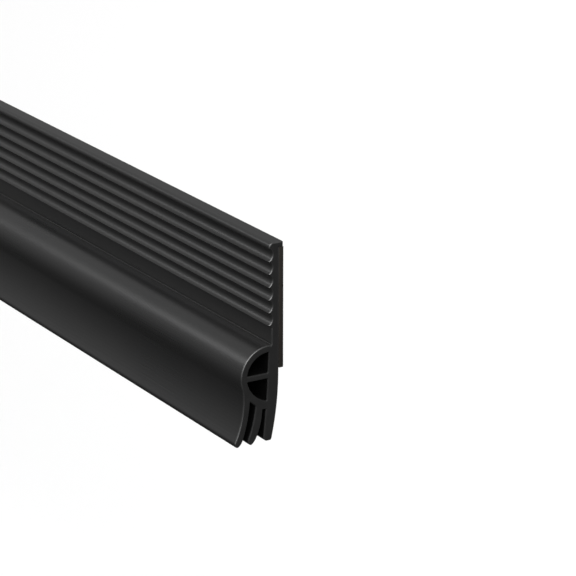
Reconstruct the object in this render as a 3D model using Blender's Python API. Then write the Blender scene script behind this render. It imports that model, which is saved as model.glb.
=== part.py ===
"""Under-door draught stopper: a one-piece extruded silicone rubber strip on an adhesive tape.

The strip's section is drawn once and extruded along X. In it, reach is how far a point lies in
front of a surface, towards -Y, and height is along Z. The tape's outer face, which sticks to the
flat surface that carries the strip, lies in the plane Y = 0 and faces +Y, and the origin is its middle.

From the top down, the section has a flange with a lip over the tape's upper edge, a rounded nose
and a row of scalloped grooves with sharp ribs between them, a flat band, a D-shaped bulb that a
web divides into two channels, and three sealing fins. The rear fin is the flange's own continuation.
All lengths are in metres.
"""

import math

import bmesh
import bpy
from mathutils import Vector

# Strip
STRIP_LENGTH = 1.0

# Adhesive tape, lying in the recess behind the flange
TAPE_THICKNESS = 0.0008
TAPE_WIDTH = 0.027
TAPE_PROUD = 0.00005  # how far the tape stands out behind the top lip
SEAT_GAP = 0.0003  # clearance between the tape and the rubber round it

# Flange: thicknesses are from the tape's recess to the front
TOP_LIP_HEIGHT = 0.00115
FLANGE_THICKNESS = 0.00165  # at the bottom of the grooves
NOSE_HEIGHT = 0.00122
NOSE_REACH = 0.0008  # in front of the grooves' bottoms
NOSE_RADIUS = 0.00095
RIB_COUNT = 6
RIB_PITCH = 0.00288
RIB_REACH = 0.00093  # tips in front of the grooves' bottoms
RIB_UNDERSIDE = 0.00048  # height of the step below the last rib's tip
BAND_THICKNESS = 0.00178
BAND_HEIGHT = 0.00443  # from the last rib's tip to the bulb

# Hollow bulb
BULB_RADIUS = 0.0069
BULB_CENTRE_REACH = 0.00077  # in front of the flat band
BULB_WALL = 0.0016
BULB_FLOOR_WALL = 0.0012
CHANNEL_FLOOR_BOW = 0.00098
WEB_THICKNESS = 0.0013
CREASE_DROP = 0.0026  # where the front fin leaves the bulb, below the bulb's centre

# Spine: the wall behind the bulb and the rear fin, bowed forwards towards its foot
SPINE_TOP_THICKNESS = 0.00245  # at the top of the upper channel
SPINE_THICKNESS = 0.00268  # at the slots' roots
SPINE_BEND_HEIGHT = 0.0161  # where the back starts to bow forwards, above the fins' tips

# Fins and the slots between them: root sizes at the bulb, foot sizes at the tips
FIN_DROP = 0.0153  # the fins' lowest corners, before rounding, below the bulb's centre
REAR_FIN_SWEEP = 0.0019
REAR_FIN_FOOT = 0.0019
REAR_SLOT_ROOT = 0.00085
REAR_SLOT_FOOT = 0.0016
REAR_SLOT_ROOT_WALL = 0.0006  # rubber between the bulb's circle and the slot
MIDDLE_FIN_ROOT = 0.0017
MIDDLE_FIN_FOOT = 0.00232
FRONT_SLOT_ROOT = 0.0014
FRONT_SLOT_FOOT = 0.0013
FRONT_SLOT_REAR_WALL = 0.0003
FRONT_SLOT_FRONT_WALL = 0.00005
FRONT_FIN_FOOT = 0.00205
FRONT_FIN_BOW = 0.00085  # of its round front
FIN_BOW = 0.0003  # of the fins' other sides

# Feet of the fins: heights of their corners above the lowest one
FRONT_CORNER_HEIGHT = 0.00115
FRONT_FIN_REAR_BEVEL = 0.0014
MIDDLE_FIN_REAR_BEVEL = 0.0019
REAR_FIN_FRONT_BEVEL = 0.00095
REAR_FIN_REAR_CORNER = 0.0006
REAR_FOOT_LIFT = 0.0003  # the rear fin ends a little above the two others
FOOT_ROUNDING = 0.00018
LOWEST_POINT_SHARE = 0.36  # across the foot, from its front corner
REAR_FIN_FLAT_SHARES = (0.3, 0.88)

# Softened corners: how far each one reaches along its two sides
RIB_SOFTENING = 0.00008
OUTER_SOFTENING = 0.00015
CHANNEL_SOFTENING = 0.00022
SLOT_SOFTENING = 0.0002
FOOT_SOFTENING = 0.00035
CREASE_SOFTENING = 0.0006

# Steps in the round stretches
BULB_STEPS = 40
CHANNEL_STEPS = 24
GROOVE_STEPS = 14
FIN_STEPS = 14
SMALL_STEPS = 8
CORNER_STEPS = 4

# A 2D curve is filled reliably only well above a millimetre, so the section is drawn enlarged
DRAWING_SCALE = 1000.0
WELD_DISTANCE = 0.00001
SHARP_ANGLE = math.radians(25)

COLLECTION_NAME = "under_door_draught_stopper"
RUBBER_COLOUR = (0.018, 0.018, 0.019, 1.0)
RUBBER_ROUGHNESS = 0.42
TAPE_COLOUR = (0.035, 0.034, 0.033, 1.0)
TAPE_ROUGHNESS = 0.7


def clear_scene():
    """Removes every object that the startup file brought."""
    for item in list(bpy.data.objects):
        bpy.data.objects.remove(item, do_unlink=True)


def material(name, colour, roughness):
    """A plain dielectric material."""
    made = bpy.data.materials.new(name)
    made.use_nodes = True
    shader = made.node_tree.nodes["Principled BSDF"]
    shader.inputs["Base Color"].default_value = colour
    shader.inputs["Roughness"].default_value = roughness
    shader.inputs["Metallic"].default_value = 0.0
    made.diffuse_color = colour
    return made


def circle(centre, radius, first, last, steps):
    """Points of a circle from one angle to another, counted from +Y towards +Z."""
    points = []
    for step in range(steps + 1):
        angle = first + (last - first) * step / steps
        points.append(centre + radius * Vector((math.cos(angle), math.sin(angle))))
    return points


def bowed(start, end, rise, steps):
    """A circular arc between two points. It rises to the left of the way from start to end."""
    chord = end - start
    across = Vector((-chord.y, chord.x)).normalized()
    half = chord.length / 2
    radius = (half**2 + rise**2) / (2 * rise)
    centre = (start + end) / 2 + across * (rise - radius)
    swing = math.asin(half / radius)
    outwards = math.atan2(across.y, across.x)
    return circle(centre, radius, outwards + swing, outwards - swing, steps)


def straight(start, end):
    """The two ends of a straight stretch."""
    return [start, end]


def cut_back(points, reach):
    """The points without the first stretch of the given length, or half of a shorter line."""
    total = sum((b - a).length for a, b in zip(points, points[1:]))
    left = min(reach, total / 2)
    for index, (a, b) in enumerate(zip(points, points[1:])):
        step = (b - a).length
        if left < step:
            return [a.lerp(b, left / step)] + points[index + 1 :]
        left -= step
    return points[-1:]


def closed_outline(stretches):
    """Joins (points, softening) stretches, and rounds the corner at the end of each by its softening."""
    outline = []
    for index, (points, softening) in enumerate(stretches):
        following = stretches[(index + 1) % len(stretches)][0]
        before = stretches[index - 1][1]
        body = cut_back(points, before)
        body = cut_back(body[::-1], softening)[::-1]
        outline.extend(body)
        corner = points[-1]
        departure = cut_back(following, softening)[0]
        for step in range(1, CORNER_STEPS):
            share = step / CORNER_STEPS
            outline.append(body[-1].lerp(corner, share).lerp(corner.lerp(departure, share), share))
    return outline


class Levels:
    """Places of the section's main lines: y across the strip, z up it."""

    lip_y = -TAPE_PROUD
    seat_y = -(TAPE_THICKNESS + SEAT_GAP)
    groove_y = seat_y - FLANGE_THICKNESS
    nose_y = groove_y - NOSE_REACH
    tip_y = groove_y - RIB_REACH
    band_y = seat_y - BAND_THICKNESS
    bulb_y = band_y - BULB_CENTRE_REACH

    top_z = TAPE_WIDTH / 2 + SEAT_GAP + TOP_LIP_HEIGHT
    nose_z = top_z - NOSE_HEIGHT
    last_tip_z = nose_z - RIB_COUNT * RIB_PITCH
    bulb_top_z = last_tip_z - BAND_HEIGHT
    bulb_z = bulb_top_z - math.sqrt(BULB_RADIUS**2 - BULB_CENTRE_REACH**2)
    foot_z = bulb_z - FIN_DROP
    bend_z = foot_z + SPINE_BEND_HEIGHT
    slot_z = bulb_z - BULB_RADIUS - REAR_SLOT_ROOT_WALL

    rear_foot_y = seat_y - REAR_FIN_SWEEP
    rear_fin_front_y = rear_foot_y - REAR_FIN_FOOT
    middle_fin_rear_y = rear_fin_front_y - REAR_SLOT_FOOT
    middle_fin_front_y = middle_fin_rear_y - MIDDLE_FIN_FOOT
    front_fin_rear_y = middle_fin_front_y - FRONT_SLOT_FOOT
    front_fin_front_y = front_fin_rear_y - FRONT_FIN_FOOT


def flange_front():
    """The rounded nose, the scalloped grooves and the flat band, from the top edge to the bulb."""
    nose_centre = Vector((Levels.nose_y + NOSE_RADIUS, Levels.top_z - NOSE_RADIUS))
    top_back = Vector((Levels.lip_y, Levels.top_z))
    nose = circle(nose_centre, NOSE_RADIUS, math.pi / 2, math.pi, SMALL_STEPS)
    cusp = Vector((Levels.nose_y, Levels.nose_z))
    stretches = [(straight(top_back, nose[0]), 0), (nose, 0), (straight(nose[-1], cusp), RIB_SOFTENING)]
    for rib in range(1, RIB_COUNT + 1):
        tip = Vector((Levels.tip_y, Levels.nose_z - rib * RIB_PITCH))
        stretches.append((bowed(cusp, tip, RIB_REACH, GROOVE_STEPS), RIB_SOFTENING))
        cusp = tip
    band_top = Vector((Levels.band_y, Levels.last_tip_z - RIB_UNDERSIDE))
    bulb_top = Vector((Levels.band_y, Levels.bulb_top_z))
    stretches.append((straight(cusp, band_top), OUTER_SOFTENING))
    stretches.append((straight(band_top, bulb_top), OUTER_SOFTENING))
    return stretches


def foot(front, rear, low_share):
    """The rounded end of a fin, from its front corner through its lowest point to its rear corner."""
    lowest = Vector((front.x + (rear.x - front.x) * low_share, Levels.foot_z))
    return [
        (bowed(front, lowest, -FOOT_ROUNDING, SMALL_STEPS), FOOT_SOFTENING),
        (bowed(lowest, rear, -FOOT_ROUNDING, SMALL_STEPS), FOOT_SOFTENING),
    ]


def below_bulb(y, wall):
    """The point at this y that lies a wall's thickness outside the bulb's circle, on its underside."""
    drop = math.sqrt((BULB_RADIUS + wall) ** 2 - (y - Levels.bulb_y) ** 2)
    return Vector((y, Levels.bulb_z - drop))


def spine_back(z):
    """The y of the strip's back at a height below the bend, on its bowed lower stretch."""
    below = Levels.bend_z - z
    radius = ((Levels.bend_z - Levels.foot_z) ** 2 + REAR_FIN_SWEEP**2) / (2 * REAR_FIN_SWEEP)
    return Levels.seat_y - (radius - math.sqrt(radius**2 - below**2))


def fins():
    """The bulb's round front and the three fins, from the flat band to the rear fin's foot."""
    bulb_centre = Vector((Levels.bulb_y, Levels.bulb_z))
    top_angle = math.acos(BULB_CENTRE_REACH / BULB_RADIUS)
    crease_angle = math.pi + math.asin(CREASE_DROP / BULB_RADIUS)
    bulb = circle(bulb_centre, BULB_RADIUS, top_angle, crease_angle, BULB_STEPS)

    rear_fin_root = Vector((spine_back(Levels.slot_z) - SPINE_THICKNESS, Levels.slot_z))
    middle_fin_rear_root = rear_fin_root - Vector((REAR_SLOT_ROOT, 0))
    front_slot_rear = below_bulb(middle_fin_rear_root.x - MIDDLE_FIN_ROOT, FRONT_SLOT_REAR_WALL)
    front_slot_front = below_bulb(front_slot_rear.x - FRONT_SLOT_ROOT, FRONT_SLOT_FRONT_WALL)

    front_fin_front = Vector((Levels.front_fin_front_y, Levels.foot_z + FRONT_CORNER_HEIGHT))
    front_fin_rear = Vector((Levels.front_fin_rear_y, Levels.foot_z + FRONT_FIN_REAR_BEVEL))
    middle_fin_front = Vector((Levels.middle_fin_front_y, Levels.foot_z + FRONT_CORNER_HEIGHT))
    middle_fin_rear = Vector((Levels.middle_fin_rear_y, Levels.foot_z + MIDDLE_FIN_REAR_BEVEL))
    rear_fin_front = Vector((Levels.rear_fin_front_y, Levels.foot_z + REAR_FIN_FRONT_BEVEL))

    stretches = [(bulb, CREASE_SOFTENING)]
    stretches.append((bowed(bulb[-1], front_fin_front, FRONT_FIN_BOW, FIN_STEPS), FOOT_SOFTENING))
    stretches += foot(front_fin_front, front_fin_rear, LOWEST_POINT_SHARE)
    stretches.append((bowed(front_fin_rear, front_slot_front, -FIN_BOW, FIN_STEPS), SLOT_SOFTENING))
    stretches.append((straight(front_slot_front, front_slot_rear), SLOT_SOFTENING))
    stretches.append((bowed(front_slot_rear, middle_fin_front, FIN_BOW, FIN_STEPS), FOOT_SOFTENING))
    stretches += foot(middle_fin_front, middle_fin_rear, LOWEST_POINT_SHARE)
    stretches.append((bowed(middle_fin_rear, middle_fin_rear_root, -FIN_BOW, FIN_STEPS), SLOT_SOFTENING))
    stretches.append((straight(middle_fin_rear_root, rear_fin_root), SLOT_SOFTENING))
    stretches.append((straight(rear_fin_root, rear_fin_front), FOOT_SOFTENING))
    return stretches


def spine_and_back():
    """The rear fin's foot, the bowed back, the tape's recess and the top lip."""
    flat_front, flat_rear = REAR_FIN_FLAT_SHARES
    rear_corner = Vector((0, Levels.foot_z + REAR_FIN_REAR_CORNER))
    rear_corner.x = spine_back(rear_corner.y)
    front_corner = Vector((Levels.rear_fin_front_y, Levels.foot_z + REAR_FIN_FRONT_BEVEL))
    width = rear_corner.x - front_corner.x
    flat_z = Levels.foot_z + REAR_FOOT_LIFT
    flat_start = Vector((front_corner.x + width * flat_front, flat_z))
    flat_end = Vector((front_corner.x + width * flat_rear, flat_z))

    back = []
    for step in range(FIN_STEPS + 1):
        z = rear_corner.y + (Levels.bend_z - rear_corner.y) * step / FIN_STEPS
        back.append(Vector((spine_back(z), z)))

    lip_bottom_z = Levels.top_z - TOP_LIP_HEIGHT
    recess_top = Vector((Levels.seat_y, lip_bottom_z))
    lip_bottom = Vector((Levels.lip_y, lip_bottom_z))
    lip_top = Vector((Levels.lip_y, Levels.top_z))
    return [
        (straight(front_corner, flat_start), FOOT_SOFTENING),
        (straight(flat_start, flat_end), OUTER_SOFTENING),
        (straight(flat_end, rear_corner), OUTER_SOFTENING),
        (back, 0),
        (straight(back[-1], recess_top), OUTER_SOFTENING),
        (straight(recess_top, lip_bottom), OUTER_SOFTENING),
        (straight(lip_bottom, lip_top), OUTER_SOFTENING),
    ]


def channels():
    """The outlines of the bulb's two hollows, above and below its web."""
    centre = Vector((Levels.bulb_y, Levels.bulb_z))
    radius = BULB_RADIUS - BULB_WALL
    web_half = WEB_THICKNESS / 2
    spine_top_y = Levels.seat_y - SPINE_TOP_THICKNESS
    spine_web_y = spine_back(Levels.bulb_z) - SPINE_THICKNESS
    web_angle = math.asin(web_half / radius)

    spine_angle = math.acos((spine_top_y - Levels.bulb_y) / radius)
    round_top = circle(centre, radius, spine_angle, math.pi - web_angle, CHANNEL_STEPS)
    web_top_rear = Vector((spine_web_y, Levels.bulb_z + web_half))
    upper = [
        (round_top, CHANNEL_SOFTENING),
        (straight(round_top[-1], web_top_rear), CHANNEL_SOFTENING),
        (straight(web_top_rear, round_top[0]), CHANNEL_SOFTENING),
    ]

    floor_z = Levels.bulb_z - BULB_RADIUS + BULB_FLOOR_WALL
    web_front = Vector((round_top[-1].x, Levels.bulb_z - web_half))
    web_rear = Vector((spine_web_y, Levels.bulb_z - web_half))
    floor_rear = Vector((spine_back(floor_z) - SPINE_THICKNESS, floor_z))
    lower = [
        (bowed(web_front, floor_rear, -CHANNEL_FLOOR_BOW, CHANNEL_STEPS), CHANNEL_SOFTENING),
        (straight(floor_rear, web_rear), CHANNEL_SOFTENING),
        (straight(web_rear, web_front), CHANNEL_SOFTENING),
    ]
    return [closed_outline(upper), closed_outline(lower)]


def drawn_curve(name, outlines, length):
    """A 2D curve of the outlines, enlarged, with its section's y along Y and its length along X."""
    curve = bpy.data.curves.new(name, "CURVE")
    curve.dimensions = "2D"
    curve.fill_mode = "BOTH"
    curve.extrude = DRAWING_SCALE * length / 2
    for outline in outlines:
        spline = curve.splines.new("POLY")
        spline.points.add(len(outline) - 1)
        for target, point in zip(spline.points, outline):
            target.co = (DRAWING_SCALE * point.x, DRAWING_SCALE * point.y, 0, 1)
        spline.use_cyclic_u = True
    drawing = bpy.data.objects.new(name, curve)
    drawing.rotation_euler = (math.pi / 2, 0, math.pi / 2)
    drawing.scale = [1 / DRAWING_SCALE] * 3
    bpy.context.scene.collection.objects.link(drawing)
    bpy.context.view_layer.update()
    return drawing


def extruded(name, outlines, length):
    """A closed solid of the outlines along X, with its caps welded to its sides."""
    drawing = drawn_curve(name + "_section", outlines, length)
    graph = bpy.context.evaluated_depsgraph_get()
    mesh = bpy.data.meshes.new_from_object(drawing.evaluated_get(graph))
    mesh.name = name
    shape = bmesh.new()
    shape.from_mesh(mesh)
    bmesh.ops.remove_doubles(shape, verts=shape.verts, dist=DRAWING_SCALE * WELD_DISTANCE)
    bmesh.ops.recalc_face_normals(shape, faces=shape.faces)
    shape.to_mesh(mesh)
    shape.free()
    solid = bpy.data.objects.new(name, mesh)
    solid.matrix_world = drawing.matrix_world
    bpy.data.objects.remove(drawing, do_unlink=True)
    mesh.shade_smooth()
    mesh.set_sharp_from_angle(angle=SHARP_ANGLE)
    return solid


def silicone_profile():
    """The one-piece rubber strip."""
    outer = closed_outline(flange_front() + fins() + spine_and_back())
    profile = extruded("silicone_profile", [outer] + channels(), STRIP_LENGTH)
    profile.data.materials.clear()
    profile.data.materials.append(material("silicone_rubber", RUBBER_COLOUR, RUBBER_ROUGHNESS))
    return profile


def adhesive_tape():
    """The double-sided foam tape that fills the recess behind the flange."""
    bpy.ops.mesh.primitive_cube_add(size=1, location=(0, -TAPE_THICKNESS / 2, 0))
    tape = bpy.context.object
    tape.name = "adhesive_tape"
    tape.scale = (STRIP_LENGTH, TAPE_THICKNESS, TAPE_WIDTH)
    tape.data.materials.append(material("tape_foam", TAPE_COLOUR, TAPE_ROUGHNESS))
    return tape


def main():
    clear_scene()
    collection = bpy.data.collections.new(COLLECTION_NAME)
    bpy.context.scene.collection.children.link(collection)
    for made in (silicone_profile(), adhesive_tape()):
        for holder in list(made.users_collection):
            holder.objects.unlink(made)
        collection.objects.link(made)


main()
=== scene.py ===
"""The looks of the under-door draught stopper: its rubber strip and tape, modelled over their solids.

The strip's section is read from the frame, so it is the solid's own. Here it gets softly rounded cut ends,
a thin line in the crease under its flat band, a slight waviness of the fins along the strip, and its finish,
with painted shade on its sheltered walls.
All lengths are in metres, in the frame's axes: X along the strip, -Y to the front, and Z up.
"""

import math

import bmesh
import bpy
from mathutils import Matrix, Vector, geometry, noise


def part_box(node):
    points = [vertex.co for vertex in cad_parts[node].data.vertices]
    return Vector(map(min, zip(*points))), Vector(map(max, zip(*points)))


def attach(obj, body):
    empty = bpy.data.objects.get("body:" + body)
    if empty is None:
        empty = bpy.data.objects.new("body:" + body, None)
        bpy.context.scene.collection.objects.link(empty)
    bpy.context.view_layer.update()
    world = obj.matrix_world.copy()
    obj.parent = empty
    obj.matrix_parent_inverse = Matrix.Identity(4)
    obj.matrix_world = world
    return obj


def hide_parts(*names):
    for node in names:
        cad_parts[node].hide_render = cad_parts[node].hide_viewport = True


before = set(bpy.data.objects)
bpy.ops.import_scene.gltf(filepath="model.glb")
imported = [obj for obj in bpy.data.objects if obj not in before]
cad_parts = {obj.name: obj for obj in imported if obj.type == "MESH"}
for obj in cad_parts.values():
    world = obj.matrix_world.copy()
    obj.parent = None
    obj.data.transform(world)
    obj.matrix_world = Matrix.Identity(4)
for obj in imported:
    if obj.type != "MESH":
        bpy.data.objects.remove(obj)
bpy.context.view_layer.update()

MM = 0.001

# Camera: its place from the top of the near cut end, and the way it looks
SENSOR = 36.0
LENS = 180.217
CAMERA_FROM_NEAR_TOP = Vector((0.498578, -0.303635, 0.185179))
CAMERA_AZIMUTH = math.radians(58.5621)
CAMERA_ELEVATION = math.radians(18.5335)
CAMERA_ROLL = math.radians(0.1607)
CLIP_START = 0.01
CLIP_END = 100.0

# Section
WELD = 0.001 * MM  # points nearer than this are one
LONG_STRETCH = 0.6 * MM  # a side longer than this is a flat stretch
HOLD = 0.08 * MM  # points this far from the ends of flat stretches keep their shading flat
LEAST_MITRE = 0.5  # a corner's point moves inwards by no more than the inset divided by this

# The thin dark line in the crease between the flat band and the bulb
CREASE_LINE_DEPTH = 0.12 * MM

# Rounded cut ends of the rubber: how far the rounding reaches into the end face and along the strip
CUT_ROUNDING = 0.28 * MM
CUT_STEPS = 6
CUT_MARGIN = 0.36 * MM  # the end face is filled from this far inside its outline, where it is flat
CUT_HALVINGS = 8  # steps of the search for the widest rounding beside a ridge
RIDGE_SHARE = 0.95  # how near the roundings of two sides come to the ridge where they meet
FOOT_RIDGE_SHARE = 0.8  # the same at the fins' feet, whose corners are tighter
FOOT_HEIGHT = 1.5 * MM  # how high the feet reach from the fins' lowest point

# The strip's material slots, the last one painted shade; how near a side faces another one to count as
# sheltered and take that painted shade; and the least turn at both ends of a side in an inner corner
SKIN, CUT, RIM, PAINTED_SHADE = range(4)
PAINTED_SHADE_REACH = 2.2 * MM
INNER_CORNER_TURN = math.radians(12)

# Waviness of the fins, which grows from nothing at the near cut end
STATION_SPACING = 12.5 * MM
SWAY = 0.1 * MM
SWAY_WAVE = 110 * MM
SWAY_START = 60 * MM
SWAY_NOISE_PLACE = (0.3, 0.7)

# Tape, with its material slots
TAPE_ROUNDING = 0.06 * MM
TAPE_ROUNDING_SEGMENTS = 2
ROUND_PROFILE = 0.5
FOAM, ADHESIVE = range(2)
ADHESIVE_NORMAL_Y = 0.9  # a face whose normal is nearer to the Y axis than this is an adhesive one

# Finishes. A colour is a grey level and its warmth, and a pair of ends is what a noise moves a number
# between. A noise's scale is its features per metre, and a stretch below 1 draws it out along that axis.
NOISE_ENDS = (0.3, 0.7)  # most of a noise's values lie between these
DIE_LINES = {"scale": 900, "stretch": (0.004, 1, 1), "detail": 4.0, "roughness": 0.6}

SKIN_COLOURS = ((0.0082, -0.02), (0.0098, 0.01))
SKIN_CLOUDING = {"scale": 60, "stretch": (0.5, 1, 1)}
SKIN_ROUGHNESS_ENDS = (0.27, 0.32)
SKIN_LINES_ROUGHNESS_ENDS = (-0.02, 0.02)
SKIN_LINES_BUMP = {"strength": 0.5, "distance": 0.006 * MM}
SKIN_GRAIN = {"scale": 5000, "stretch": (0.6, 1, 1), "detail": 2.0}
SKIN_GRAIN_BUMP = {"strength": 0.5, "distance": 0.004 * MM}

CUT_COLOURS = ((0.0090, 0.0), (0.0108, 0.0))
CUT_CLOUDING = {"scale": 400}
CUT_ROUGHNESS_ENDS = (0.55, 0.62)
CUT_SPECULAR = 0.25
CUT_STROKES = {"scale": 1400, "stretch": (1, 0.1, 1)}
CUT_STROKES_BUMP = {"strength": 0.5, "distance": 0.008 * MM}

RIM_GREY = 0.006
RIM_WEAR = {"scale": 700, "detail": 2.0}
RIM_ROUGHNESS_ENDS = (0.38, 0.46)
RIM_SPECULAR = 1.0

# Painted shade: a near-black, barely reflecting finish for sheltered walls, standing in for the shade there
PAINTED_SHADE_GREY = 0.0015
PAINTED_SHADE_ROUGHNESS_ENDS = (0.6, 0.7)
PAINTED_SHADE_SPECULAR = 0.06

FOAM_COLOURS = ((0.0065, 0.25), (0.0095, 0.25))
FOAM_CLOUDING = {"scale": 300}
FOAM_ROUGHNESS = 0.85
FOAM_SPECULAR = 0.3
FOAM_CELLS_SCALE = 6000.0
FOAM_CELLS_BUMP = {"strength": 0.6, "distance": 0.03 * MM}

ADHESIVE_COLOURS = ((0.026, 0.05), (0.040, 0.05))
ADHESIVE_LAY = {"scale": 220, "stretch": (0.3, 1, 1), "detail": 4.0}
ADHESIVE_LAY_BUMP = {"strength": 0.6, "distance": 0.05 * MM}
ADHESIVE_ROUGHNESS_ENDS = (0.26, 0.42)
ADHESIVE_PORES = {"scale": 2600, "detail": 2.0}
ADHESIVE_PORES_BUMP = {"strength": 0.4, "distance": 0.01 * MM}

# Floor: its glow for the camera grows outwards, so that it ends as white as the world behind it
FLOOR_DROP = 0.16
FLOOR_HALF = 8.0
FLOOR_GREY = 0.45
FLOOR_GLOW_ENDS = (0.45, 0.85)
FLOOR_GLOW_RADII = (0.9, 2.0)

# Dome: its brightness by height at the front, and at the back
DOME_HEIGHTS = (-0.46, 0.4)
DOME_LOW = 0.045
DOME_HIGH = 0.5
DOME_FRONT_TO_BACK = (0.0, 0.7)
DOME_BACK = 0.21

# Lamps
LAMP_DISTANCE = 2.2
KEY_DIRECTION = Vector((0.62, -0.51, 0.60))
KEY_SIZE = 2.1
KEY_RADIANCE = 6.2
LONG_DIRECTION = Vector((-0.62, -0.69, 0.435))
LONG_WIDTH = 1.3
LONG_HEIGHT = 0.55
LONG_RADIANCE = 2.6
REAR_DIRECTION = Vector((-0.1, 0.92, 0.3))
REAR_SIZE = 1.6
REAR_RADIANCE = 5.0

# A Mix node has these sockets for each kind of value under the same labels, so its colours go by number
MIX_SHARE, MIX_FIRST, MIX_SECOND, MIX_RESULT = 0, 6, 7, 2


# Node helpers
def grey(value, warmth=0.0):
    """A colour close to grey, warmer above zero and cooler below it."""
    return (value * (1 + warmth), value, value * (1 - warmth), 1.0)


class Tree:
    """Short ways to add nodes and links to one material or world."""

    def __init__(self, owner):
        owner.use_nodes = True
        self.nodes = owner.node_tree.nodes
        self.links = owner.node_tree.links
        self.nodes.clear()

    def add(self, kind, **inputs):
        """A new node, with values or sockets for its inputs by name."""
        node = self.nodes.new(kind)
        for key, value in inputs.items():
            self.put(node, key.replace("_", " "), value)
        return node

    def put(self, node, key, value):
        """Sets or links one input of a node, given by its label or number."""
        socket = node.inputs[key]
        if isinstance(value, bpy.types.NodeSocket):
            self.links.new(value, socket)
        else:
            socket.default_value = value

    def place(self):
        """The place on the object, in metres."""
        return self.add("ShaderNodeTexCoord").outputs["Object"]

    def camera_ray(self):
        """One where the camera looks, and zero for every other ray."""
        return self.add("ShaderNodeLightPath").outputs["Is Camera Ray"]

    def total(self, first, second):
        """The sum of two numbers."""
        node = self.nodes.new("ShaderNodeMath")
        node.operation = "ADD"
        self.put(node, 0, first)
        self.put(node, 1, second)
        return node.outputs[0]

    def length(self, vector):
        """The length of a vector."""
        node = self.nodes.new("ShaderNodeVectorMath")
        node.operation = "LENGTH"
        self.put(node, 0, vector)
        return node.outputs["Value"]

    def noise(self, place, scale, stretch=(1, 1, 1), detail=3.0, roughness=0.5):
        """Noise of the given features per metre, after the place is stretched."""
        stretched = self.add("ShaderNodeMapping", Vector=place, Scale=stretch)
        node = self.add("ShaderNodeTexNoise", Vector=stretched.outputs[0], Scale=scale)
        node.inputs["Detail"].default_value = detail
        node.inputs["Roughness"].default_value = roughness
        return node.outputs["Fac"]

    def ranged(self, value, ends, to_ends, smooth=False):
        """The value moved from one range to another, and kept in it."""
        node = self.add("ShaderNodeMapRange", Value=value)
        node.interpolation_type = "SMOOTHSTEP" if smooth else "LINEAR"
        for key, number in zip(("From Min", "From Max", "To Min", "To Max"), (*ends, *to_ends)):
            node.inputs[key].default_value = number
        return node.outputs["Result"]

    def varied(self, made_noise, to_ends):
        """A number that a noise moves between two ends."""
        return self.ranged(made_noise, NOISE_ENDS, to_ends)

    def mixed(self, share, first, second):
        """A colour between two, by a share."""
        node = self.nodes.new("ShaderNodeMix")
        node.data_type = "RGBA"
        self.put(node, MIX_SHARE, share)
        self.put(node, MIX_FIRST, first)
        self.put(node, MIX_SECOND, second)
        return node.outputs[MIX_RESULT]

    def clouded(self, made_noise, colours):
        """A colour that a noise moves between two, each a grey level and its warmth."""
        first, second = colours
        return self.mixed(self.varied(made_noise, (0, 1)), grey(*first), grey(*second))

    def bump(self, height, strength, distance, under=None):
        """The normal of a surface with this height, over the normal of another bump if one is given."""
        node = self.add("ShaderNodeBump", Height=height, Strength=strength, Distance=distance)
        if under is not None:
            self.put(node, "Normal", under)
        return node.outputs[0]

    def surface(self, colour, roughness, normal=None, specular=None):
        """The material's shader and output. What isn't given stays as Blender has it."""
        shader = self.add("ShaderNodeBsdfPrincipled", Roughness=roughness)
        if normal is not None:
            self.put(shader, "Normal", normal)
        self.put(shader, "Base Color", colour)
        if specular is not None:
            self.put(shader, "Specular IOR Level", specular)
        self.add("ShaderNodeOutputMaterial", Surface=shader.outputs[0])


# Materials
def skin_material():
    """Extruded silicone rubber: satin black, with faint die lines along the strip and a fine grain."""
    made = bpy.data.materials.new("silicone_skin")
    tree = Tree(made)
    place = tree.place()
    die_lines = tree.noise(place, **DIE_LINES)
    clouding = tree.noise(place, **SKIN_CLOUDING)
    grain = tree.noise(place, **SKIN_GRAIN)
    colour = tree.clouded(clouding, SKIN_COLOURS)
    clouded_roughness = tree.varied(clouding, SKIN_ROUGHNESS_ENDS)
    lines_roughness = tree.varied(die_lines, SKIN_LINES_ROUGHNESS_ENDS)
    roughness = tree.total(clouded_roughness, lines_roughness)
    lines_bump = tree.bump(die_lines, **SKIN_LINES_BUMP)
    grain_bump = tree.bump(grain, **SKIN_GRAIN_BUMP, under=lines_bump)
    tree.surface(colour, roughness, normal=grain_bump)
    return made


def cut_material():
    """The knife-cut end of the same rubber: matter than its skin, with faint strokes across it."""
    made = bpy.data.materials.new("silicone_cut")
    tree = Tree(made)
    place = tree.place()
    strokes = tree.noise(place, **CUT_STROKES)
    clouding = tree.noise(place, **CUT_CLOUDING)
    colour = tree.clouded(clouding, CUT_COLOURS)
    roughness = tree.varied(clouding, CUT_ROUGHNESS_ENDS)
    strokes_bump = tree.bump(strokes, **CUT_STROKES_BUMP)
    tree.surface(colour, roughness, normal=strokes_bump, specular=CUT_SPECULAR)
    return made


def rim_material():
    """The rounded rim of the cut, burnished where the knife went through the skin."""
    made = bpy.data.materials.new("silicone_rim")
    tree = Tree(made)
    wear = tree.noise(tree.place(), **RIM_WEAR)
    roughness = tree.varied(wear, RIM_ROUGHNESS_ENDS)
    tree.surface(grey(RIM_GREY), roughness, specular=RIM_SPECULAR)
    return made


def painted_shade_material():
    """Painted shade: dull near-black walls inside the bulb's two channels and in the slots between the fins.
    """
    made = bpy.data.materials.new("silicone_painted_shade")
    tree = Tree(made)
    die_lines = tree.noise(tree.place(), **DIE_LINES)
    roughness = tree.varied(die_lines, PAINTED_SHADE_ROUGHNESS_ENDS)
    tree.surface(grey(PAINTED_SHADE_GREY), roughness, specular=PAINTED_SHADE_SPECULAR)
    return made


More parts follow.
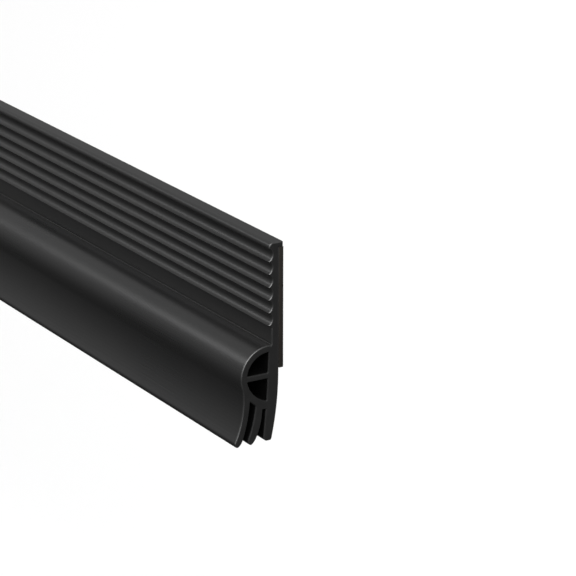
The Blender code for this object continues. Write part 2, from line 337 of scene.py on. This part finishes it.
def foam_material():
    """The tape's dark closed-cell foam, seen on its edges."""
    made = bpy.data.materials.new("tape_foam_edge")
    tree = Tree(made)
    place = tree.place()
    cells = tree.add("ShaderNodeTexVoronoi", Vector=place, Scale=FOAM_CELLS_SCALE).outputs["Distance"]
    clouding = tree.noise(place, **FOAM_CLOUDING)
    colour = tree.clouded(clouding, FOAM_COLOURS)
    cells_bump = tree.bump(cells, **FOAM_CELLS_BUMP)
    tree.surface(colour, FOAM_ROUGHNESS, normal=cells_bump, specular=FOAM_SPECULAR)
    return made


def adhesive_material():
    """The tape's tacky acrylic face over the foam: lighter, smoother and a little uneven."""
    made = bpy.data.materials.new("tape_adhesive_face")
    tree = Tree(made)
    place = tree.place()
    lay = tree.noise(place, **ADHESIVE_LAY)
    pores = tree.noise(place, **ADHESIVE_PORES)
    colour = tree.clouded(lay, ADHESIVE_COLOURS)
    roughness = tree.varied(lay, ADHESIVE_ROUGHNESS_ENDS)
    lay_bump = tree.bump(lay, **ADHESIVE_LAY_BUMP)
    pores_bump = tree.bump(pores, **ADHESIVE_PORES_BUMP, under=lay_bump)
    tree.surface(colour, roughness, normal=pores_bump)
    return made


# Section. Its points are pairs of the frame's Y and Z, so a point's x lies along Y and its y is a height.
def sides_of(loop):
    """The sides of a closed loop, each as its two ends."""
    return list(zip(loop, loop[1:] + loop[:1]))


def signed_area(loop):
    """Twice the area inside a loop of points, positive where it runs anticlockwise."""
    return sum(a.x * b.y - b.x * a.y for a, b in sides_of(loop))


def end_outline(shape):
    """For each point on the outline of a shape's flat end at its highest X, its neighbours along it."""
    end = max(point.co.x for point in shape.verts)
    counts = {}
    for face in shape.faces:
        if all(abs(point.co.x - end) < WELD for point in face.verts):
            for edge in face.edges:
                counts[edge] = counts.get(edge, 0) + 1
    following = {}
    for edge, count in counts.items():
        if count == 1:
            for point in edge.verts:
                following.setdefault(point, []).append(edge.other_vert(point))
    return following


def section_loops(node):
    """The outlines of the node's cut end at its highest X, as loops with the rubber on their left.

    The outer loop comes first.
    """
    shape = bmesh.new()
    shape.from_mesh(node.data)
    bmesh.ops.remove_doubles(shape, verts=shape.verts, dist=WELD)
    following = end_outline(shape)
    loops = []
    left = set(following)
    while left:
        start = min(left, key=lambda point: (point.co.y, point.co.z))
        walk = [start]
        left.discard(start)
        while True:
            onward = [point for point in following[walk[-1]] if point in left]
            if not onward:
                break
            walk.append(min(onward, key=lambda point: point.co.z))
            left.discard(walk[-1])
        loops.append([Vector((point.co.y, point.co.z)) for point in walk])
    shape.free()
    loops.sort(key=lambda loop: -abs(signed_area(loop)))
    for index, loop in enumerate(loops):
        if (signed_area(loop) > 0) != (index == 0):
            loop.reverse()
    return loops


def with_holds(loop):
    """The loop with a point close to each end of every long flat stretch."""
    held = []
    for a, b in sides_of(loop):
        held.append(a)
        length = (b - a).length
        if length > LONG_STRETCH:
            held.append(a.lerp(b, HOLD / length))
            held.append(b.lerp(a, HOLD / length))
    return held


def inward(loop):
    """For each point of a loop, the step into the rubber per unit of inset, with mitred corners."""
    steps = []
    for index, point in enumerate(loop):
        before = (point - loop[index - 1]).normalized()
        after = (loop[(index + 1) % len(loop)] - point).normalized()
        normals = [Vector((-side.y, side.x)) for side in (before, after)]
        middle = (normals[0] + normals[1]).normalized()
        steps.append(middle / max(middle.dot(normals[0]), LEAST_MITRE))
    return steps


def turns(loop):
    """How far the outline turns at each point of a loop: above zero where the rubber's corner sticks out."""
    angles = []
    for index, point in enumerate(loop):
        before = point - loop[index - 1]
        after = loop[(index + 1) % len(loop)] - point
        angles.append(math.atan2(before.x * after.y - before.y * after.x, before.dot(after)))
    return angles


def with_crease_line(outer, channels):
    """The outer loop with the thin groove at the foot of the flat band, where the bulb begins."""
    # The flat band is the longest drop above the channels, and a hollow fillet follows it
    ceiling = max(point.y for loop in channels for point in loop)
    drops = {}
    for index, (a, b) in enumerate(sides_of(outer)):
        if min(a.y, b.y) > ceiling:
            drops[index] = a.y - b.y
    angles = turns(outer)
    foot = max(drops, key=drops.get) + 1
    while angles[foot + 1] < 0:
        foot += 1
    along = (outer[foot + 1] - outer[foot]).normalized()
    bottom = (outer[foot] + outer[foot + 1]) / 2 + Vector((-along.y, along.x)) * CREASE_LINE_DEPTH
    return outer[: foot + 1] + [bottom] + outer[foot + 1 :]


def crossings(loop, axis, level):
    """The places, on the section's other axis, where a loop crosses a level on this one."""
    places = []
    for a, b in sides_of(loop):
        if (a[axis] - level) * (b[axis] - level) < 0:
            places.append(a.lerp(b, (level - a[axis]) / (b[axis] - a[axis]))[1 - axis])
    return places


# Cut ends
def clearance(place, sides):
    """The distance from a place to the nearest of the sides."""
    nearest = math.inf
    for a, b in sides:
        side = b - a
        share = min(1.0, max(0.0, (place - a).dot(side) / side.length_squared))
        nearest = min(nearest, (a + side * share - place).length)
    return nearest


def cut_widths(loop, steps, sides, foot_z):
    """How far inside each point of a loop the end face is rounded, short of another side's rounding."""
    widths = []
    for point, step in zip(loop, steps):
        if clearance(point + step * CUT_MARGIN, sides) > CUT_MARGIN - WELD:
            widths.append(CUT_MARGIN)
            continue
        low, high = 0.0, CUT_MARGIN
        for _ in range(CUT_HALVINGS):
            middle = (low + high) / 2
            if clearance(point + step * middle, sides) > middle - WELD:
                low = middle
            else:
                high = middle
        in_foot = point.y < foot_z + FOOT_HEIGHT
        widths.append(low * (FOOT_RIDGE_SHARE if in_foot else RIDGE_SHARE))
    return widths


def cut_depth(inset):
    """How far the rounding lies behind the end face, at this distance inside the outline."""
    left = max(0.0, CUT_ROUNDING - inset)
    return CUT_ROUNDING - math.sqrt(CUT_ROUNDING**2 - left**2)


def end_rings(end, towards):
    """(end, direction along the strip, inset, depth) of the rings at a cut end, from its flat face on."""
    rings = [(end, towards, CUT_MARGIN, 0)]
    for step in range(CUT_STEPS + 1):
        inset = CUT_ROUNDING * (1 - math.sin(math.pi / 2 * step / CUT_STEPS))
        rings.append((end, towards, inset, cut_depth(inset)))
    rings.append((end, towards, 0, CUT_ROUNDING + HOLD))
    return rings


# Strip
def strip_rings(low, high):
    """All rings of the strip, from its far cut end to its near one."""
    start = low + CUT_ROUNDING + HOLD
    stop = high - CUT_ROUNDING - HOLD
    count = round((stop - start) / STATION_SPACING)
    middle = [(start + (stop - start) * step / count, 0, 0, 0) for step in range(1, count)]
    return end_rings(low, 1) + middle + end_rings(high, -1)[::-1]


def sheltered(loop):
    """Whether each side of a loop faces another side close by, as the slots' walls do, and so gets painted
    shade.
    """
    facing = []
    for index, (point, after) in enumerate(sides_of(loop)):
        middle = (point + after) / 2
        along = (after - point).normalized()
        reach = middle + Vector((along.y, -along.x)) * PAINTED_SHADE_REACH
        hit = False
        for other, (start, end) in enumerate(sides_of(loop)):
            if other != index:
                hit = hit or geometry.intersect_line_line_2d(middle, reach, start, end) is not None
        facing.append(hit)
    return facing


def sway(x, z, near_end, bulb_z, foot_z):
    """How far the fins swing forwards or back at a place along the strip."""
    depth = min(1.0, max(0.0, (bulb_z - z) / (bulb_z - foot_z)))
    along = near_end - x
    grown = min(1.0, max(0.0, along / SWAY_START))
    wave = noise.noise(Vector((along / SWAY_WAVE, *SWAY_NOISE_PLACE)))
    return SWAY * depth**2 * grown * wave


def add_walls(shape, rows, painted_shade_mask, inner):
    """The strip's faces along one outline, between its rows of points, each with its finish or painted
    shade.
    """
    count = len(rows[0])
    last_rounded = CUT_STEPS + 1
    for index, (lower, upper) in enumerate(zip(rows, rows[1:])):
        from_end = min(index, len(rows) - 2 - index)
        for corner in range(count):
            after = (corner + 1) % count
            face = shape.faces.new((lower[corner], upper[corner], upper[after], lower[after]))
            face.smooth = True
            if from_end > last_rounded:
                # Away from the cut ends, the masked sides get the painted shade
                face.material_index = PAINTED_SHADE if painted_shade_mask[corner] else SKIN
            elif from_end == 0 or painted_shade_mask[corner] or (inner[corner] and inner[after]):
                face.material_index = CUT
            else:
                face.material_index = RIM


def close_ends(shape, middle_x):
    """The flat faces of both cut ends, round the mouths of the channels."""
    open_edges = [edge for edge in shape.edges if edge.is_boundary]
    for near in (True, False):
        rim = [edge for edge in open_edges if (edge.verts[0].co.x > middle_x) == near]
        filled = bmesh.ops.triangle_fill(shape, use_beauty=True, edges=rim)
        for face in filled["geom"]:
            if isinstance(face, bmesh.types.BMFace):
                face.material_index = CUT
                face.smooth = True


def mesh_of(name, shape, materials):
    """A mesh in metres of a shape that was built in millimetres, with its material slots."""
    shape.transform(Matrix.Scale(MM, 4))
    mesh = bpy.data.meshes.new(name)
    shape.to_mesh(mesh)
    shape.free()
    for material in materials:
        mesh.materials.append(material)
    return mesh


def placed(name, data):
    """A new object in the scene."""
    made = bpy.data.objects.new(name, data)
    bpy.context.scene.collection.objects.link(made)
    return made


def strip_shape(loops, low, high):
    """The rubber strip as one closed shape in millimetres, with a material slot for each of its finishes."""
    foot_z = min(point.y for point in loops[0])
    bulb_z = sum(point.y for loop in loops[1:] for point in loop) / sum(len(loop) for loop in loops[1:])
    rings = strip_rings(low, high)
    outlines = [with_holds(loop) for loop in loops]
    sides = [side for outline in outlines for side in sides_of(outline)]
    shape = bmesh.new()
    for outline in outlines:
        steps = inward(outline)
        widths = cut_widths(outline, steps, sides, foot_z)
        rows = []
        for end, towards, inset, depth in rings:
            row = []
            for point, step, widest in zip(outline, steps, widths):
                place = (point + step * min(inset, widest)) / MM
                x = end + towards * (depth if inset <= widest else cut_depth(widest))
                swung = place.x + sway(x, point.y, high, bulb_z, foot_z) / MM
                row.append(shape.verts.new((x / MM, swung, place.y)))
            rows.append(row)
        # Painted shade on all the channels' walls, and on the outer sides that face another side close by
        painted_shade_mask = sheltered(outline) if outline is outlines[0] else [True] * len(outline)
        inner = [angle < -INNER_CORNER_TURN for angle in turns(outline)]
        add_walls(shape, rows, painted_shade_mask, inner)
    bmesh.ops.remove_doubles(shape, verts=shape.verts, dist=WELD / MM)
    close_ends(shape, (low + high) / 2 / MM)
    bmesh.ops.recalc_face_normals(shape, faces=shape.faces)
    return shape


def silicone_strip():
    """The visible rubber strip, in place of its solid."""
    low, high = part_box("silicone_profile")
    outer, *channels = section_loops(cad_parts["silicone_profile"])
    shape = strip_shape([with_crease_line(outer, channels)] + channels, low.x, high.x)
    # The last material is the painted shade for sheltered sides
    materials = [skin_material(), cut_material(), rim_material(), painted_shade_material()]
    strip = placed("silicone_strip", mesh_of("silicone_strip", shape, materials))
    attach(strip, "root")
    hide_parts("silicone_profile")


# Tape
def recess_corner():
    """The y of the flat seat behind the flange and the z of the lip's underside above it."""
    low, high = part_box("adhesive_tape")
    outer = section_loops(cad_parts["silicone_profile"])[0]
    seat_y = max(crossings(outer, 1, (low.z + high.z) / 2))
    lip_z = min(z for z in crossings(outer, 0, (low.y + high.y) / 2) if z > high.z)
    return seat_y, lip_z


def tape_strip():
    """The visible tape, in place of its solid: it reaches the rubber that it is bonded to, and its lip."""
    low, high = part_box("adhesive_tape")
    seat_y, lip_z = recess_corner()
    shape = bmesh.new()
    made = bmesh.ops.create_cube(shape, size=1)
    for point in made["verts"]:
        point.co.x = (high.x if point.co.x > 0 else low.x) / MM
        point.co.y = (high.y if point.co.y > 0 else seat_y) / MM
        point.co.z = (lip_z if point.co.z > 0 else low.z) / MM
    bmesh.ops.bevel(
        shape,
        geom=shape.edges[:],
        offset=TAPE_ROUNDING / MM,
        segments=TAPE_ROUNDING_SEGMENTS,
        profile=ROUND_PROFILE,
        affect="EDGES",
    )
    bmesh.ops.recalc_face_normals(shape, faces=shape.faces)
    for face in shape.faces:
        face.material_index = ADHESIVE if abs(face.normal.y) > ADHESIVE_NORMAL_Y else FOAM
        face.smooth = True
    tape = placed("tape_strip", mesh_of("tape_strip", shape, [foam_material(), adhesive_material()]))
    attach(tape, "root")
    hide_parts("adhesive_tape")


# Stage
def floor_material():
    """Pale to the camera, with the object's shadow. Other rays pass it to the dome's dark lower part."""
    made = bpy.data.materials.new("floor_pale")
    tree = Tree(made)
    seen = tree.camera_ray()
    pale = tree.add("ShaderNodeBsdfDiffuse", Color=grey(FLOOR_GREY))
    away = tree.length(tree.place())
    strength = tree.ranged(away, FLOOR_GLOW_RADII, FLOOR_GLOW_ENDS, smooth=True)
    glow = tree.add("ShaderNodeEmission", Color=grey(1.0), Strength=strength)
    lit = tree.add("ShaderNodeAddShader")
    tree.put(lit, 0, pale.outputs[0])
    tree.put(lit, 1, glow.outputs[0])
    passed = tree.add("ShaderNodeBsdfTransparent")
    mix = tree.add("ShaderNodeMixShader")
    tree.put(mix, 0, seen)
    tree.put(mix, 1, passed.outputs[0])
    tree.put(mix, 2, lit.outputs[0])
    tree.add("ShaderNodeOutputMaterial", Surface=mix.outputs[0])
    return made


def floor():
    """A plain pale floor some way below the strip, which hangs at its mount."""
    mesh = bpy.data.meshes.new("floor")
    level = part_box("silicone_profile")[0].z - FLOOR_DROP
    corners = [(x * FLOOR_HALF, y * FLOOR_HALF, level) for x, y in ((-1, -1), (1, -1), (1, 1), (-1, 1))]
    mesh.from_pydata(corners, [], [(0, 1, 2, 3)])
    mesh.materials.append(floor_material())
    made = placed("floor", mesh)


def softbox(name, target, direction, width, height, radiance):
    """A rectangular soft lamp of an even brightness, aimed at a point, with its width level."""
    data = bpy.data.lights.new(name, "AREA")
    data.shape = "RECTANGLE"
    data.size = width
    data.size_y = height
    data.energy = radiance * math.pi * width * height
    lamp = placed(name, data)
    lamp.location = target + LAMP_DISTANCE * direction.normalized()
    lamp.rotation_euler = (-direction).to_track_quat("-Z", "Y").to_euler()
    lamp.visible_camera = False


def sky():
    """A studio dome: white to the camera, and for the light it gives, brightest above the front."""
    world = bpy.data.worlds.new("studio")
    bpy.context.scene.world = world
    tree = Tree(world)
    direction = tree.add("ShaderNodeTexCoord").outputs["Generated"]
    parts = tree.add("ShaderNodeSeparateXYZ", Vector=direction)
    rising = tree.ranged(parts.outputs["Z"], DOME_HEIGHTS, (0, 1), smooth=True)
    front = tree.mixed(rising, grey(DOME_LOW), grey(DOME_HIGH))
    behind = tree.ranged(parts.outputs["Y"], DOME_FRONT_TO_BACK, (0, 1), smooth=True)
    dome = tree.mixed(behind, front, grey(DOME_BACK))
    colour = tree.mixed(tree.camera_ray(), dome, grey(1.0))
    background = tree.add("ShaderNodeBackground", Color=colour, Strength=1.0)
    tree.add("ShaderNodeOutputWorld", Surface=background.outputs[0])


def lights():
    """The dome, a key lamp for the cut's rounded edges, a long one for the ribs' glints, and a rear one."""
    sky()
    near_end = Vector((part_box("silicone_profile")[1].x, 0, 0))
    softbox("key", near_end, KEY_DIRECTION, KEY_SIZE, KEY_SIZE, KEY_RADIANCE)
    softbox("long", near_end, LONG_DIRECTION, LONG_WIDTH, LONG_HEIGHT, LONG_RADIANCE)
    softbox("rear", Vector((0, 0, 0)), REAR_DIRECTION, REAR_SIZE, REAR_SIZE, REAR_RADIANCE)


def camera():
    """The photograph's view of the near cut end."""
    az, el = CAMERA_AZIMUTH, CAMERA_ELEVATION
    forward = Vector((-math.sin(az) * math.cos(el), math.cos(az) * math.cos(el), -math.sin(el)))
    level_right = forward.cross(Vector((0, 0, 1))).normalized()
    level_up = level_right.cross(forward)
    cosine, sine = math.cos(CAMERA_ROLL), math.sin(CAMERA_ROLL)
    right = cosine * level_right + sine * level_up
    up = cosine * level_up - sine * level_right
    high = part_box("silicone_profile")[1]
    near_top = Vector((high.x, 0, high.z))
    data = bpy.data.cameras.new("camera")
    data.sensor_width = SENSOR
    data.lens = LENS
    data.clip_start = CLIP_START
    data.clip_end = CLIP_END
    made = placed("camera", data)
    turned = Matrix((right, up, -forward)).transposed().to_4x4()
    made.matrix_world = Matrix.Translation(near_top + CAMERA_FROM_NEAR_TOP) @ turned
    bpy.context.scene.camera = made


camera()
silicone_strip()
tape_strip()
floor()
lights()
bpy.context.scene.view_settings.view_transform = "Standard"
